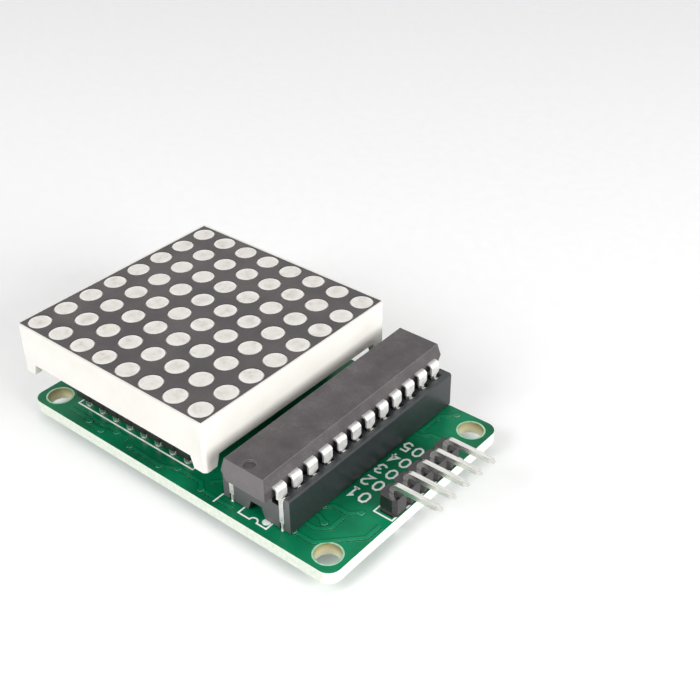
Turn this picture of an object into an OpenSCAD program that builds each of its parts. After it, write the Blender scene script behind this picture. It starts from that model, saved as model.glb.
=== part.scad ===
// 8 x 8 LED dot matrix module: a plug-in display and its driver chip on one small circuit board.
// Origin: centre of the four mounting holes, on the board's underside.
// +X points to the input header's end, +Z points out of the display's face.

/* [Board] */
// Length of the board along X
board_l = 50; // [48:0.5:70]
// Width of the board along Y
board_w = 32; // [32:0.5:50]
// Thickness of the board
board_t = 1.6; // [1:0.1:2.4]
// Radius of the board's corners
board_corner_r = 1.6; // [0.5:0.1:2.4]
// Distance between mounting holes along X
hole_span_x = 45; // [42:0.5:46]
// Distance between mounting holes along Y
hole_span_y = 27; // [26:0.5:28]
// Diameter of a mounting hole
mount_hole_d = 3.1; // [2.2:0.1:3.2]
// Diameter of a plated hole for a thin lead
lead_hole_d = 0.8; // [0.6:0.05:1]
// Diameter of a plated hole for a header pin
pin_hole_d = 1.05; // [0.95:0.05:1.2]

/* [Display housing] */
// Side of the square housing
display_side = 32; // [30:0.2:32]
// Height of the housing from the feet to the face
display_h = 7; // [6.6:0.1:9]
// Distance from the board's centre to the display's centre, towards the output header
display_shift = 9; // [8.8:0.1:9]
// Thickness of the housing's side walls
display_wall = 1; // [0.6:0.1:1.4]
// Chamfer on the housing's four upright corners
display_chamfer = 0.35; // [0.1:0.05:0.6]
// Height of a corner foot below the side walls
foot_h = 1.6; // [0.6:0.1:1.9]
// Width of a corner foot along each side
foot_w = 2.3; // [1.5:0.1:3.5]
// Slope of a corner foot's inner edge, as its run towards the corner
foot_slope = 0.5; // [0:0.1:0.8]
// Gap between the socket strips' tops and the feet
display_gap = 0.2; // [0.1:0.1:1]

/* [Display face] */
// Lit points along each side
dots = 8; // [8:1:8]
// Distance between lit points
dot_pitch = 4; // [3.4:0.05:4]
// Diameter of a hole in the face film
dot_hole_d = 3.06; // [2.4:0.02:3.2]
// Width of the housing's white ring that shows round each lit point
dot_ring = 0.12; // [0.05:0.01:0.25]
// Diameter of a reflector well at its bottom
well_bottom_d = 1.9; // [1.2:0.1:2.4]
// Thickness of the face film
film_t = 0.15; // [0.1:0.05:0.4]
// Width of the housing's rim round the film
film_rim = 0.25; // [0.15:0.05:0.8]
// Depth of a lit point below the film's surface
dot_sink = 0.04; // [0.02:0.01:0.1]

/* [Display inside] */
// Side of a light-emitting die
die_side = 0.36; // [0.2:0.02:0.6]
// Height of a light-emitting die
die_h = 0.24; // [0.1:0.02:0.4]
// Thickness of the display's own circuit board
inner_board_t = 0.9; // [0.6:0.1:1]
// Gap between the display's own circuit board and the walls
inner_board_gap = 0.2; // [0.1:0.05:0.4]
// Thickness of the potting behind the display's own circuit board
potting_t = 0.35; // [0.2:0.05:0.6]
// Depth of the potting's surface above the side walls' lower edge
potting_sink = 0.15; // [0:0.05:0.3]

/* [Display pins] */
// Distance between neighbouring pins, on every row of the module
pitch = 2.54; // [2.5:0.01:2.54]
// Pins in each row of the display
display_pins = 8; // [8:1:8]
// Distance between the display's two pin rows
display_row_span = 24.13; // [23.4:0.01:24.2]
// Diameter of a display pin
display_pin_d = 0.5; // [0.4:0.02:0.54]
// Depth that a display pin reaches into its socket
display_pin_reach = 2.4; // [1.5:0.1:2.5]

/* [Socket strips] */
// Width of a socket strip
strip_w = 2.3; // [2:0.05:2.5]
// Height of a strip's plastic
strip_h = 2.8; // [2.6:0.1:4]
// Height of the turned shoulders that hold the plastic off the board
shoulder_h = 1.4; // [0.8:0.1:2]
// Diameter of a turned shoulder
shoulder_d = 1.5; // [1.3:0.05:1.8]
// Diameter of a turned contact inside the plastic
contact_d = 1.3; // [1.1:0.05:1.3]
// Diameter of a turned contact's tail
contact_tail_d = 0.5; // [0.4:0.02:0.56]
// Depth of the V groove between two ways of a strip
strip_groove = 0.3; // [0.1:0.05:0.5]

/* [Chip socket] */
// Length of the chip socket along Y
socket_l = 30; // [29.9:0.05:30.1]
// Width of the chip socket along X
socket_w = 10.16; // [10:0.02:10.6]
// Distance from the board's centre to the socket's centre along Y
socket_shift_y = 1.1; // [1.05:0.01:1.1]
// Height of the socket's body
socket_h = 4.7; // [4.6:0.05:5.2]
// Height of the feet under the socket's body
socket_foot_h = 0.15; // [0.1:0.05:0.4]
// Width of a foot under the socket's body
socket_foot_w = 1.1; // [0.8:0.1:1.4]
// Width of the open window between the two rows
socket_window = 4.2; // [3:0.1:4.3]
// Thickness of the socket's end bars
socket_end_bar = 2.4; // [1.5:0.1:3]
// Thickness of the socket's cross bars
socket_cross_bar = 1.6; // [1:0.1:2.5]
// Width of the arch under the near end bar
arch_w = 2.6; // [1:0.1:4]
// Height of the arch under the near end bar
arch_h = 1.5; // [0.5:0.1:2]
// Width of the channel that the chip's body sits in
seat_w = 6.7; // [6.6:0.05:6.8]
// Depth of the channel that the chip's body sits in
seat_depth = 0.7; // [0.6:0.05:0.8]
// Width of the pocket round each leg, along the row
pocket_w = 1.7; // [1.6:0.05:1.9]
// Reach of the pocket from the leg towards the socket's middle
pocket_in = 1.3; // [0.8:0.05:1.3]
// Reach of the pocket from the leg towards the socket's side
pocket_out = 0.5; // [0.35:0.05:0.6]
// Depth of the pocket
pocket_depth = 1.45; // [1:0.05:2]
// Chamfer along the socket's top edges
socket_chamfer = 0.2; // [0.1:0.05:0.3]
// Thickness of the fork contacts' sheet metal
fork_t = 0.2; // [0.15:0.01:0.25]
// Width of a fork contact
fork_w = 0.46; // [0.4:0.02:0.48]
// Distance between the fork contacts' tops and the top of the socket's body
fork_sink = 0.15; // [0.1:0.05:0.4]
// Width of a fork contact's tail across the row
fork_tail_t = 0.3; // [0.2:0.02:0.4]

/* [Chip] */
// Distance from the board's centre to the chip's centre along X
chip_x = 12.45; // [12.4:0.01:12.5]
// Distance from the board's centre to the chip's centre along Y
chip_y = 0.3; // [0.25:0.01:0.35]
// Length of the chip's body at its parting line
chip_l = 32.1; // [31:0.1:32.4]
// Width of the chip's body at its parting line
chip_w = 6.4; // [6:0.05:6.7]
// Thickness of the chip's body
chip_t = 3.3; // [3:0.05:3.6]
// Draft of the chip's faces from the parting line to the top
chip_draft = 0.32; // [0.1:0.02:0.5]
// Gap between the chip's underside and the channel's floor, half way along
chip_gap = 0.65; // [0.6:0.05:0.8]
// Slope of the chip in its socket, in degrees, with the near end pushed further in
chip_slope = 1.1; // [0:0.1:1.1]
// Diameter of the round mark in the chip's top
mark_d = 1.6; // [1:0.1:1.6]
// Depth of the round mark
mark_depth = 0.3; // [0.1:0.05:0.5]
// Distance from the chip's end to the round mark's centre
mark_inset = 1.3; // [1.25:0.05:3]
// Legs in each row
legs = 12; // [12:1:12]
// Distance between the two rows of legs
leg_row_span = 7.62; // [7.6:0.01:7.66]
// Thickness of a leg
leg_t = 0.25; // [0.2:0.01:0.3]
// Width of a leg's shoulder
leg_shoulder_w = 1.52; // [1.2:0.02:1.6]
// Width of a leg's tip
leg_tip_w = 0.46; // [0.4:0.02:0.48]
// Inner radius of a leg's bend
leg_bend_r = 0.25; // [0.15:0.05:0.3]
// Height of a leg's shoulder from the middle of the body down
leg_shoulder_h = 1.35; // [0.9:0.05:1.5]
// Depth that a leg reaches below the body
leg_reach = 3.2; // [2.6:0.05:3.4]
// Depth that a leg is moulded into the body
leg_root = 0.8; // [0.3:0.1:1]

/* [Headers] */
// Pins in each header
header_pins = 5; // [5:1:5]
// Distance from the board's centre to the row of header pins
header_x = 23.62; // [23.5:0.01:23.7]
// Distance from the board's centre to the middle header pin, along Y
header_y = 1.55; // [1.3:0.01:1.6]
// Width of a header's plastic
header_w = 2.5; // [2.3:0.05:2.6]
// Height of a header's plastic
header_h = 2.54; // [2.4:0.02:2.6]
// Chamfer between two ways of a header
header_chamfer = 0.45; // [0.2:0.05:0.6]
// Side of a square header pin
pin_side = 0.64; // [0.5:0.01:0.66]
// Height of a pin's level run above the board, at its upper side
pin_top = 3.9; // [3.7:0.05:4.2]
// Inner radius of a pin's bend
pin_bend_r = 0.45; // [0.3:0.05:0.5]
// Length of a pin from its upright run to its tip
pin_run = 6.6; // [5:0.1:8]
// Length of the taper on a pin's tip
pin_taper = 0.6; // [0.3:0.05:1]
// Width left at the end of a pin's taper
pin_point = 0.34; // [0.2:0.02:0.4]
// Depth that a header pin reaches below the board
pin_tail = 1.5; // [1.45:0.05:2]

/* [Resistor] */
// Length of the resistor's body
resistor_l = 6.3; // [5:0.1:6.8]
// Diameter of the resistor's end caps
resistor_d = 2.4; // [2:0.05:2.5]
// Depth of the waist between the end caps
resistor_waist = 0.2; // [0.1:0.02:0.3]
// Distance between the resistor's two holes
resistor_span = 10.16; // [9.5:0.01:10.4]
// Distance from the display's centre to the resistor along X
resistor_x = -7.5; // [-8:0.1:-7]

/* [Ceramic capacitor] */
// Diameter of the capacitor's disc
disc_d = 4; // [3:0.1:4.2]
// Thickness of the capacitor's disc
disc_t = 2; // [1.5:0.1:2.4]
// Height of the disc above the board
disc_lift = 0.8; // [0.5:0.1:1]
// Distance from the display's centre to the disc along X
disc_x = 6; // [5.5:0.1:6.5]
// Distance from the display's centre to the disc along Y
disc_y = -5.5; // [-6:0.1:-5]
// Distance between the disc's two leads
disc_span = 2.54; // [2.4:0.01:2.6]

/* [Electrolytic capacitor] */
// Diameter of the can
can_d = 5; // [4:0.1:5.2]
// Length of the can
can_l = 11; // [7:0.1:11.5]
// Wall of the can
can_wall = 0.3; // [0.2:0.05:0.5]
// Depth of the rubber bung in the can
bung_depth = 1.8; // [1:0.1:2.5]
// Thickness of the printed sleeve
sleeve_t = 0.12; // [0.1:0.01:0.2]
// Distance between the can's two leads
can_span = 2; // [1.6:0.05:2.2]
// Distance from the display's centre to the can's holes along X
can_x = -4.3; // [-4.6:0.1:-4]
// Distance from the display's centre to the can along Y
can_y = 3.5; // [2:0.1:4]
// Distance from the can's holes to its bung
can_standoff = 1.4; // [1.2:0.1:2]

/* [Leads and solder] */
// Diameter of the wire leads
wire_d = 0.5; // [0.4:0.02:0.56]
// Depth that trimmed leads and contact tails reach below the board
tail_depth = 1.35; // [1:0.05:1.4]
// Inner radius of a wire lead's bend
wire_bend_r = 0.4; // [0.3:0.05:0.5]
// Height of a solder cone below the board
solder_h = 0.85; // [0.5:0.05:0.95]
// Width of a solder cone's foot beyond the hole
solder_foot = 0.4; // [0.2:0.05:0.45]
// Width of a solder cone's top beyond the lead
solder_top = 0.1; // [0.05:0.01:0.15]
// Clearance between a pin or contact and the hole that it sits in
fit_gap = 0.02; // [0.01:0.01:0.04]

/* [Hidden] */
$fn = 40;
eps = 0.01;

// Heights, from the board's underside
strip_z = board_t + shoulder_h;
strip_top = strip_z + strip_h;
feet_z = strip_top + display_gap;
wall_z = feet_z + foot_h;
face_z = feet_z + display_h;
film_z = face_z - film_t;
inner_board_z = wall_z + potting_sink + potting_t;
inner_board_top = inner_board_z + inner_board_t;
well_depth = film_z - inner_board_top;
socket_z = board_t + socket_foot_h;
socket_top = socket_z + socket_h;
pocket_z = socket_top - pocket_depth;
seat_z = socket_top - seat_depth;
chip_z = seat_z + chip_gap;
chip_mid = chip_z + chip_t / 2;
leg_tip_z = chip_z - leg_reach;
fork_z = leg_tip_z - legs * pitch / 2 * tan(chip_slope);
can_z = board_t + can_d / 2 + sleeve_t;
resistor_z = board_t + resistor_d / 2;
disc_z = board_t + disc_lift + disc_d / 2;

// Sizes that follow from others
display_x = -display_shift;
film_side = display_side - 2 * film_rim;
dot_d = dot_hole_d - 2 * dot_ring;
cavity_side = display_side - 2 * display_wall;
leg_x = leg_row_span / 2;
fork_out = leg_t / 2 + fork_t;
header_l = header_pins * pitch;
strip_l = display_pins * pitch;

// Places of every lead's hole in the board, one list for each group
function row_at(count, gap) = [for (i = [0:count - 1]) (i - (count - 1) / 2) * gap];
dot_rows = row_at(dots, dot_pitch);
strip_row = row_at(display_pins, pitch);
leg_row = row_at(legs, pitch);
header_row = row_at(header_pins, pitch);
strip_front_xy = [for (x = strip_row) [display_x + x, -display_row_span / 2]];
strip_back_xy = [for (x = strip_row) [display_x + x, display_row_span / 2]];
socket_left_xy = [for (y = leg_row) [chip_x - leg_x, chip_y + y]];
socket_right_xy = [for (y = leg_row) [chip_x + leg_x, chip_y + y]];
input_xy = [for (y = header_row) [header_x, header_y + y]];
output_xy = [for (y = header_row) [-header_x, header_y + y]];
resistor_xy = [for (s = [-1, 1]) [display_x + resistor_x, s * resistor_span / 2]];
disc_xy = [for (s = [-1, 1]) [display_x + disc_x + s * disc_span / 2, disc_y]];
can_xy = [for (s = [-1, 1]) [display_x + can_x, can_y + s * can_span / 2]];
wire_xy = concat(resistor_xy, disc_xy, can_xy);

module at(places) {
    for (p = places) translate(p) children();
}

// A block that stands on z = 0, centred on X and Y
module block(l, w, h) {
    translate([-l / 2, -w / 2, 0]) cube([l, w, h]);
}

// A plate with four round corners
module round_plate(l, w, t, r) {
    block(l - 2 * r, w, t);
    block(l, w - 2 * r, t);
    for (x = [-1, 1], y = [-1, 1])
        translate([x * (l / 2 - r), y * (w / 2 - r), 0]) cylinder(h = t, r = r);
}

// A square outline with chamfered corners
module chamfered_square(side, c) {
    a = side / 2;
    polygon([[-a + c, -a], [a - c, -a], [a, -a + c], [a, a - c],
             [a - c, a], [-a + c, a], [-a, a - c], [-a, -a + c]]);
}

// A profile drawn in X and Z, extruded along Y and centred on it
module along_y(w) {
    translate([0, w / 2, 0]) rotate([90, 0, 0]) linear_extrude(height = w) children();
}

// A profile drawn in Y and Z, extruded along X and centred on it
module along_x(w) {
    translate([-w / 2, 0, 0]) rotate([90, 0, 90]) linear_extrude(height = w) children();
}

// Flat quarter ring round the origin, in the +X +Y quarter
module quarter_ring(inner, outer) {
    intersection() {
        difference() {
            circle(r = outer);
            circle(r = inner);
        }
        square(outer);
    }
}

// ---- Board

module board() {
    color("seagreen")
    difference() {
        round_plate(board_l, board_w, board_t, board_corner_r);
        for (x = [-1, 1], y = [-1, 1])
            translate([x * hole_span_x / 2, y * hole_span_y / 2, -eps])
                cylinder(h = board_t + 2 * eps, d = mount_hole_d);
        at(concat(strip_front_xy, strip_back_xy, socket_left_xy, socket_right_xy, wire_xy))
            translate([0, 0, -eps]) cylinder(h = board_t + 2 * eps, d = lead_hole_d, $fn = 20);
        at(concat(input_xy, output_xy))
            translate([0, 0, -eps]) cylinder(h = board_t + 2 * eps, d = pin_hole_d, $fn = 20);
    }
}

// ---- Display

module dot_grid() {
    for (x = dot_rows, y = dot_rows) translate([display_x + x, y, 0]) children();
}

// One corner foot, for the corner at +X +Y: an L of two sloped tabs
module foot() {
    a = display_side / 2;
    tab = [[a - foot_w, wall_z + eps], [a, wall_z + eps], [a, feet_z], [a - foot_w + foot_slope, feet_z]];
    intersection() {
        union() {
            translate([0, a - display_wall / 2, 0]) along_y(display_wall) polygon(tab);
            translate([a - display_wall / 2, 0, 0]) along_x(display_wall) polygon(tab);
        }
        linear_extrude(height = face_z) chamfered_square(display_side, display_chamfer);
    }
}

module display_housing() {
    color("white")
    translate([display_x, 0, 0]) {
        difference() {
            translate([0, 0, wall_z]) linear_extrude(height = face_z - wall_z)
                chamfered_square(display_side, display_chamfer);
            translate([0, 0, wall_z - eps])
                block(cavity_side, cavity_side, inner_board_top - wall_z + eps);
            translate([0, 0, film_z]) block(film_side, film_side, film_t + eps);
            for (x = dot_rows, y = dot_rows)
                translate([x, y, inner_board_top])
                    cylinder(h = well_depth, d1 = well_bottom_d, d2 = dot_d, $fn = 32);
        }
        for (turn = [0:90:270]) rotate([0, 0, turn]) foot();
    }
}

module face_film() {
    color("dimgray")
    difference() {
        translate([display_x, 0, film_z])
            block(film_side - 2 * fit_gap, film_side - 2 * fit_gap, film_t);
        dot_grid() translate([0, 0, film_z - eps])
            cylinder(h = film_t + 2 * eps, d = dot_hole_d, $fn = 32);
    }
}

module die(extra = 0) {
    translate([0, 0, inner_board_top]) block(die_side + extra, die_side + extra, die_h + extra / 2);
}

module diffuser_dots() {
    color("whitesmoke")
    dot_grid() difference() {
        union() {
            translate([0, 0, inner_board_top])
                cylinder(h = well_depth, d1 = well_bottom_d, d2 = dot_d, $fn = 32);
            translate([0, 0, film_z]) cylinder(h = film_t - dot_sink, d = dot_d, $fn = 32);
        }
        die();
    }
}

module led_dies() {
    color("khaki") dot_grid() die();
}

module display_board() {
    side = cavity_side - 2 * inner_board_gap;
    color("darkgreen")
    difference() {
        translate([display_x, 0, inner_board_z]) block(side, side, inner_board_t);
        at(concat(strip_front_xy, strip_back_xy)) translate([0, 0, inner_board_z - eps])
            cylinder(h = inner_board_t + 2 * eps, d = display_pin_d + 2 * fit_gap, $fn = 20);
    }
}

module back_potting() {
    z = wall_z + potting_sink;
    color("gainsboro")
    difference() {
        translate([display_x, 0, z]) block(cavity_side, cavity_side, potting_t);
        at(concat(strip_front_xy, strip_back_xy)) translate([0, 0, z - eps])
            cylinder(h = potting_t + 2 * eps, d = display_pin_d + 2 * fit_gap, $fn = 20);
    }
}

module display_pin_row(places) {
    z = strip_top - display_pin_reach;
    color("silver")
    at(places) translate([0, 0, z])
        cylinder(h = inner_board_top - z, d = display_pin_d, $fn = 20);
}

// ---- Socket strips

module strip_body(side) {
    y = side * display_row_span / 2;
    color("black")
    difference() {
        translate([display_x, y, strip_z]) block(strip_l, strip_w, strip_h);
        for (x = strip_row) translate([display_x + x, y, strip_z - eps])
            cylinder(h = strip_h + 2 * eps, d = contact_d + 2 * fit_gap, $fn = 28);
        for (i = [1:display_pins - 1], s = [-1, 1])
            translate([display_x + (i - display_pins / 2) * pitch, y + s * strip_w / 2, strip_z - eps])
                rotate([0, 0, 45])
                    block(strip_groove * sqrt(2), strip_groove * sqrt(2), strip_h + 2 * eps);
    }
}

// A turned contact: shoulder on the board, sleeve up to the strip's top, tail through the board
module turned_contacts(places) {
    color("gainsboro")
    at(places) difference() {
        union() {
            translate([0, 0, -tail_depth])
                cylinder(h = board_t + tail_depth, d = contact_tail_d, $fn = 20);
            translate([0, 0, board_t]) cylinder(h = shoulder_h, d = shoulder_d, $fn = 28);
            translate([0, 0, strip_z]) cylinder(h = strip_h, d = contact_d, $fn = 28);
        }
        translate([0, 0, strip_top - display_pin_reach])
            cylinder(h = display_pin_reach + eps, d = display_pin_d + 2 * fit_gap, $fn = 20);
    }
}

// ---- Chip socket

// The socket's end view: the channel for the chip's body, and two long top edges chamfered
module socket_profile() {
    a = socket_w / 2;
    b = seat_w / 2;
    c = socket_chamfer;
    polygon([[-a, socket_z], [a, socket_z], [a, socket_top - c], [a - c, socket_top],
             [b, socket_top], [b, seat_z], [-b, seat_z], [-b, socket_top],
             [-a + c, socket_top], [-a, socket_top - c]]);
}

// Open pocket round a leg on the +X row, and the narrow slot below it for the fork contact
module leg_pocket() {
    translate([leg_x - pocket_in, -pocket_w / 2, pocket_z])
        cube([pocket_in + pocket_out, pocket_w, pocket_depth + eps]);
    translate([leg_x - fork_out - fit_gap, -fork_w / 2 - fit_gap, socket_z - eps])
        cube([2 * fork_out + 2 * fit_gap, fork_w + 2 * fit_gap, pocket_z - socket_z + 2 * eps]);
}

module socket_body() {
    near = -socket_l / 2;
    bay = (socket_l - 2 * socket_end_bar - 2 * socket_cross_bar) / 3;
    color("dimgray")
    translate([chip_x, socket_shift_y, 0]) {
        difference() {
            along_y(socket_l) socket_profile();
            for (i = [0:2])
                translate([-socket_window / 2, near + socket_end_bar + i * (bay + socket_cross_bar),
                           socket_z - eps])
                    cube([socket_window, bay, socket_h + 2 * eps]);
            translate([0, near + socket_end_bar / 2, 0]) along_y(socket_end_bar + 2 * eps)
                polygon([[-arch_w / 2, socket_z - eps], [arch_w / 2, socket_z - eps],
                         [arch_w / 2 - arch_h / 3, socket_z + arch_h],
                         [-arch_w / 2 + arch_h / 3, socket_z + arch_h]]);
            for (side = [0, 1], y = leg_row) mirror([side, 0, 0])
                translate([0, chip_y - socket_shift_y + y, 0]) leg_pocket();
        }
        for (x = [-1, 1], y = [-1, 0, 1])
            translate([x * (socket_window / 2 + socket_foot_w / 2 + 0.1),
                       y * (socket_l / 2 - socket_foot_w), board_t])
                block(socket_foot_w, socket_foot_w, socket_foot_h);
    }
}

// A fork contact of the +X row: two leaves that grip the leg, and a tail through the board
module fork_contact() {
    t = leg_t / 2;
    top = socket_top - fork_sink;
    bottom = fork_z - 0.1;
    along_y(fork_w) polygon([
        [-fork_tail_t / 2, -tail_depth], [fork_tail_t / 2, -tail_depth],
        [fork_tail_t / 2, bottom - fork_t], [fork_out, bottom - fork_t], [fork_out, top - 0.5],
        [fork_out + 0.12, top - 0.05], [t + 0.14, top], [t, top - 0.5],
        [t, bottom], [-t, bottom], [-t, top - 0.5], [-t - 0.14, top],
        [-fork_out - 0.12, top - 0.05], [-fork_out, top - 0.5],
        [-fork_out, bottom - fork_t], [-fork_tail_t / 2, bottom - fork_t]]);
}

module socket_contacts(places) {
    color("silver") at(places) fork_contact();
}

// ---- Chip

// Outline with its widest line at height 0, w wide there
module drafted(w) {
    a = w / 2;
    b = a - chip_draft;
    h = chip_t / 2;
    polygon([[-b, -h], [b, -h], [a, 0], [b, h], [-b, h], [-a, 0]]);
}

// A leg of the +X row, at its own place along Y
module leg() {
    start = chip_w / 2 - leg_root;
    bend_x = leg_x - leg_t / 2 - leg_bend_r;
    bend_z = chip_mid - leg_t / 2 - leg_bend_r;
    wide = leg_shoulder_w / 2;
    slim = leg_tip_w / 2;
    low = chip_mid - leg_shoulder_h;
    intersection() {
        along_y(leg_shoulder_w) union() {
            translate([start, chip_mid - leg_t / 2]) square([bend_x - start, leg_t]);
            translate([bend_x, bend_z]) quarter_ring(leg_bend_r, leg_bend_r + leg_t);
            translate([leg_x - leg_t / 2, leg_tip_z]) square([leg_t, bend_z - leg_tip_z]);
        }
        translate([leg_x, 0, 0]) along_x(4 * leg_x) polygon([
            [-wide, chip_mid + leg_t], [-wide, low], [-slim, low - 0.3], [-slim, leg_tip_z + 0.3],
            [-slim / 2, leg_tip_z], [slim / 2, leg_tip_z], [slim, leg_tip_z + 0.3],
            [slim, low - 0.3], [wide, low], [wide, chip_mid + leg_t]]);
    }
}

module chip_legs(side) {
    color("silver")
    translate([chip_x, chip_y, 0]) for (y = leg_row)
        mirror([side, 0, 0]) translate([0, y, y * tan(chip_slope)]) leg();
}

module chip_body() {
    color("slategray")
    translate([chip_x, chip_y, chip_mid]) difference() {
        rotate([chip_slope, 0, 0]) difference() {
            intersection() {
                along_y(chip_l) drafted(chip_w);
                along_x(chip_w) drafted(chip_l);
            }
            translate([0, -chip_l / 2 + mark_inset, chip_t / 2 - mark_depth])
                cylinder(h = mark_depth + eps, d = mark_d);
        }
        for (side = [-1, 1], y = leg_row)
            translate([side * (chip_w / 2 - leg_root / 2), y, y * tan(chip_slope) - leg_t / 2])
                block(leg_root + eps, leg_shoulder_w, leg_t);
    }
}

// ---- Headers

// A header's plastic at the input end: one block with the corners of every way cut off
module header_body() {
    cut = header_chamfer * sqrt(2);
    color("black")
    difference() {
        translate([header_x, header_y, board_t]) block(header_w, header_l, header_h);
        at(input_xy) translate([0, 0, board_t - eps])
            block(pin_side + 2 * fit_gap, pin_side + 2 * fit_gap, header_h + 2 * eps);
        for (i = [0:header_pins], s = [-1, 1])
            translate([header_x + s * header_w / 2, header_y + (i - header_pins / 2) * pitch,
                       board_t - eps])
                rotate([0, 0, 45]) block(cut, cut, header_h + 2 * eps);
    }
}

// A bent header pin at the input end, with its upright run on the Z axis
module header_pin() {
    level = board_t + pin_top - pin_side / 2;
    bend = pin_bend_r + pin_side / 2;
    color("silver")
    intersection() {
        union() {
            translate([0, 0, -pin_tail]) block(pin_side, pin_side, level - bend + pin_tail);
            translate([bend, 0, level - bend]) mirror([1, 0, 0]) along_y(pin_side)
                quarter_ring(pin_bend_r, pin_bend_r + pin_side);
            translate([bend, -pin_side / 2, level - pin_side / 2])
                cube([pin_run - bend, pin_side, pin_side]);
        }
        intersection() {
            along_y(2 * pin_side) pin_outline(level, -pin_tail);
            linear_extrude(height = 4 * pin_top, center = true) pin_plan();
        }
    }
}

// Side view of the pin's room: full but for the tapers at the tip and the tail
module pin_outline(level, low) {
    a = pin_side / 2;
    b = pin_point / 2;
    polygon([[-a, low + pin_taper / 2], [-b, low], [b, low], [a, low + pin_taper / 2],
             [a, level - pin_side], [pin_run - pin_taper, level - a], [pin_run, level - b],
             [pin_run, level + b], [pin_run - pin_taper, level + a], [-a, level + a]]);
}

// Top view of the pin's room, tapered at the tip
module pin_plan() {
    a = pin_side / 2;
    b = pin_point / 2;
    polygon([[-a, -a], [pin_run - pin_taper, -a], [pin_run, -b],
             [pin_run, b], [pin_run - pin_taper, a], [-a, a]]);
}

module input_pin(i) {
    translate(input_xy[i - 1]) header_pin();
}

// ---- Parts under the display

// A wire that leaves along +X at height z, bends down and ends below the board at the origin
module bent_wire(z, run, d = wire_d) {
    r = wire_bend_r + d / 2;
    translate([0, 0, -tail_depth]) cylinder(h = z - r + tail_depth, d = d, $fn = 20);
    translate([r, 0, z - r]) rotate([90, 0, 0]) rotate([0, 0, 90])
        rotate_extrude(angle = 90) translate([r, 0]) circle(d = d, $fn = 20);
    translate([r, 0, z]) rotate([0, 90, 0]) cylinder(h = run - r, d = d, $fn = 20);
}

module resistor_body() {
    a = resistor_d / 2;
    b = a - resistor_waist;
    h = resistor_l / 2;
    color("lightblue")
    translate([display_x + resistor_x, 0, resistor_z]) rotate([90, 0, 0])
        rotate_extrude() polygon([[0, -h], [a * 0.6, -h], [a, -h + 0.5], [a, -h + 1.2],
            [b, -h + 1.8], [b, h - 1.8], [a, h - 1.2], [a, h - 0.5], [a * 0.6, h], [0, h]]);
}

module resistor_leads() {
    run = (resistor_span - resistor_l) / 2;
    color("silver")
    for (s = [0, 1]) mirror([0, s, 0])
        translate([display_x + resistor_x, -resistor_span / 2, 0])
            rotate([0, 0, 90]) bent_wire(resistor_z, run);
}

module disc_body() {
    r = disc_d / 2 - disc_t / 2;
    color("goldenrod")
    difference() {
        translate([display_x + disc_x, disc_y, disc_z]) rotate([90, 0, 0]) rotate_extrude()
            intersection() {
                union() {
                    translate([0, -disc_t / 2]) square([r, disc_t]);
                    translate([r, 0]) circle(d = disc_t);
                }
                translate([0, -disc_t]) square(2 * disc_d);
            }
        disc_leads();
    }
}

module disc_leads() {
    color("silver")
    at(disc_xy) translate([0, 0, -tail_depth])
        cylinder(h = disc_z - disc_d / 4 + tail_depth, d = wire_d, $fn = 20);
}

module can_frame() {
    translate([display_x + can_x + can_standoff, can_y, can_z]) rotate([0, 90, 0]) children();
}

module can_shell() {
    a = can_d / 2;
    neck = bung_depth * 0.75;
    color("silver")
    can_frame() rotate_extrude() polygon([
        [a - 0.5, 0], [a - 0.1, 0], [a, 0.15], [a, neck - 0.4], [a - 0.3, neck], [a, neck + 0.4],
        [a, can_l - 0.4], [a - 0.4, can_l], [0, can_l], [0, bung_depth], [a - can_wall, bung_depth],
        [a - can_wall, neck + 0.4], [a - 0.3 - can_wall, neck], [a - can_wall, neck - 0.4],
        [a - can_wall, can_wall], [a - 0.5, can_wall]]);
}

module can_bung() {
    a = can_d / 2 - can_wall;
    neck = bung_depth * 0.75;
    color("black")
    difference() {
        can_frame() rotate_extrude() polygon([
            [0, can_wall], [a, can_wall], [a, neck - 0.4], [a - 0.3, neck], [a, neck + 0.4],
            [a, bung_depth], [0, bung_depth]]);
        can_leads();
    }
}

module can_sleeve() {
    a = can_d / 2;
    color("navy")
    can_frame() rotate_extrude() polygon([
        [a, bung_depth + 0.2], [a + sleeve_t, bung_depth + 0.2], [a + sleeve_t, can_l - 0.4],
        [a + sleeve_t - 0.4, can_l + sleeve_t], [a - 0.9, can_l + sleeve_t], [a - 0.9, can_l],
        [a - 0.4, can_l], [a, can_l - 0.4]]);
}

module can_leads() {
    color("silver")
    at(can_xy) bent_wire(can_z, can_standoff + bung_depth / 2);
}

// ---- Solder

// One joint: it fills the plated hole round the lead and stands as a cone under the board
module joint(hole_d, lead_w) {
    cylinder(h = board_t, d = hole_d, $fn = 20);
    translate([0, 0, -solder_h])
        cylinder(h = solder_h, d1 = lead_w + 2 * solder_top, d2 = hole_d + 2 * solder_foot, $fn = 20);
}

module round_joints(places, d) {
    color("lightgray")
    at(places) difference() {
        joint(lead_hole_d, d);
        translate([0, 0, -solder_h - eps])
            cylinder(h = solder_h + board_t + 2 * eps, d = d, $fn = 20);
    }
}

module square_joints(places, hole_d, l, w) {
    color("lightgray")
    at(places) difference() {
        joint(hole_d, max(l, w) + 0.1);
        translate([0, 0, -solder_h - eps]) block(l, w, solder_h + board_t + 2 * eps);
    }
}

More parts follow.
